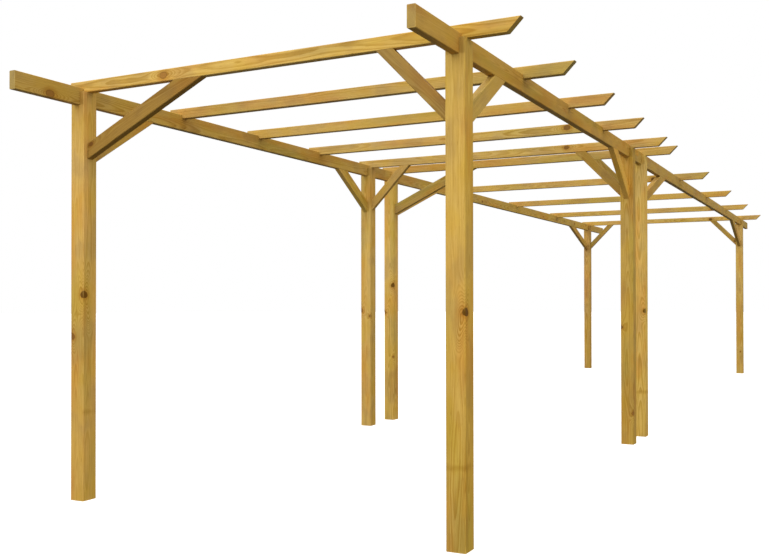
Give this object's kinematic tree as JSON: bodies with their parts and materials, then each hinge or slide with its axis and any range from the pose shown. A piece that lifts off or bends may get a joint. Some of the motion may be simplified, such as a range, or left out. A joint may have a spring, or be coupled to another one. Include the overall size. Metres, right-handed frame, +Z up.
{
  "type": "garden pergola",
  "caption": "Open timber pergola: square posts carry side beams and notched rafters with bevelled tails, stiffened by knee braces.",
  "frame": {"origin": "centre of the whole pergola's bounding box, on the ground", "axes": "+X across the walkway towards the rafter tails, +Y along the walkway from the short front bay to the long rear bay, +Z up"},
  "size_m": [2.515, 10.86, 2.19],
  "materials": {
    "post_timber": "planed, pressure treated",
    "beam_timber": "planed, pressure treated",
    "rafter_timber": "planed, pressure treated",
    "brace_timber": "planed, pressure treated"
  },
  "bodies": {
    "root": {"front_left_post": "post_timber", "front_left_beam_brace": "brace_timber", "front_left_rafter_brace": "brace_timber", "front_right_post": "post_timber", "front_right_beam_brace": "brace_timber", "front_right_rafter_brace": "brace_timber", "middle_front_left_post": "post_timber", "middle_front_left_beam_brace": "brace_timber", "middle_front_left_rafter_brace": "brace_timber", "middle_front_right_post": "post_timber", "middle_front_right_beam_brace": "brace_timber", "middle_front_right_rafter_brace": "brace_timber", "middle_rear_left_post": "post_timber", "middle_rear_left_beam_brace": "brace_timber", "middle_rear_left_rafter_brace": "brace_timber", "middle_rear_right_post": "post_timber", "middle_rear_right_beam_brace": "brace_timber", "middle_rear_right_rafter_brace": "brace_timber", "rear_left_post": "post_timber", "rear_left_beam_brace": "brace_timber", "rear_left_rafter_brace": "brace_timber", "rear_right_post": "post_timber", "rear_right_beam_brace": "brace_timber", "rear_right_rafter_brace": "brace_timber", "front_left_beam": "beam_timber", "front_right_beam": "beam_timber", "rear_left_beam": "beam_timber", "rear_right_beam": "beam_timber", "rafter_1": "rafter_timber", "rafter_2": "rafter_timber", "rafter_3": "rafter_timber", "rafter_4": "rafter_timber", "rafter_5": "rafter_timber", "rafter_6": "rafter_timber", "rafter_7": "rafter_timber", "rafter_8": "rafter_timber", "rafter_9": "rafter_timber", "rafter_10": "rafter_timber"}
  },
  "joints": []
}
